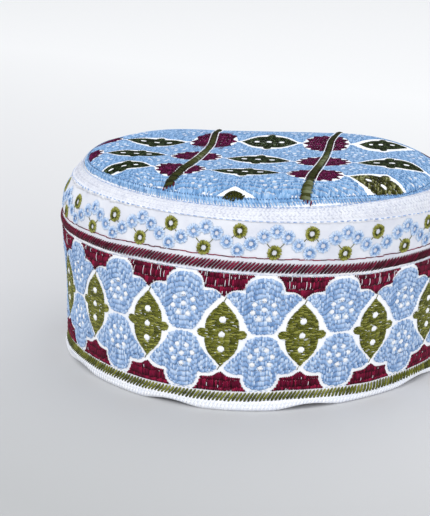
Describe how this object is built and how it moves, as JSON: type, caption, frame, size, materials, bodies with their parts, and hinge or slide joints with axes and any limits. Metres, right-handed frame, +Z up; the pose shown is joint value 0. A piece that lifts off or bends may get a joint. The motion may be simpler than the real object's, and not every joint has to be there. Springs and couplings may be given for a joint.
{
  "type": "embroidered prayer cap",
  "caption": "Round, flat-topped cotton prayer cap with embroidered side bands, a padded top edge, a stitched crown with raised ribs and an open head hollow.",
  "frame": {"origin": "on the resting plane under the middle of the cap's overall box", "axes": "+Z up through the crown, +X to the wearer-side right when the cap is seen from its front, front faces -Y"},
  "size_m": [0.1903, 0.1846, 0.1024],
  "materials": {
    "white_cotton": "matte white woven cotton",
    "pale_blue_embroidery": "pale blue satin-stitched cotton thread, soft sheen",
    "wine_red_embroidery": "wine red stitched cotton thread, soft sheen",
    "olive_green_embroidery": "olive green satin-stitched thread, soft sheen"
  },
  "bodies": {
    "root": {"hem_roll": "white_cotton", "lower_band": "wine_red_embroidery", "upper_band": "white_cotton", "crown_welt": "white_cotton", "crown_panel": "pale_blue_embroidery", "crown_rib_left": "olive_green_embroidery", "crown_rib_right": "olive_green_embroidery"}
  },
  "joints": []
}
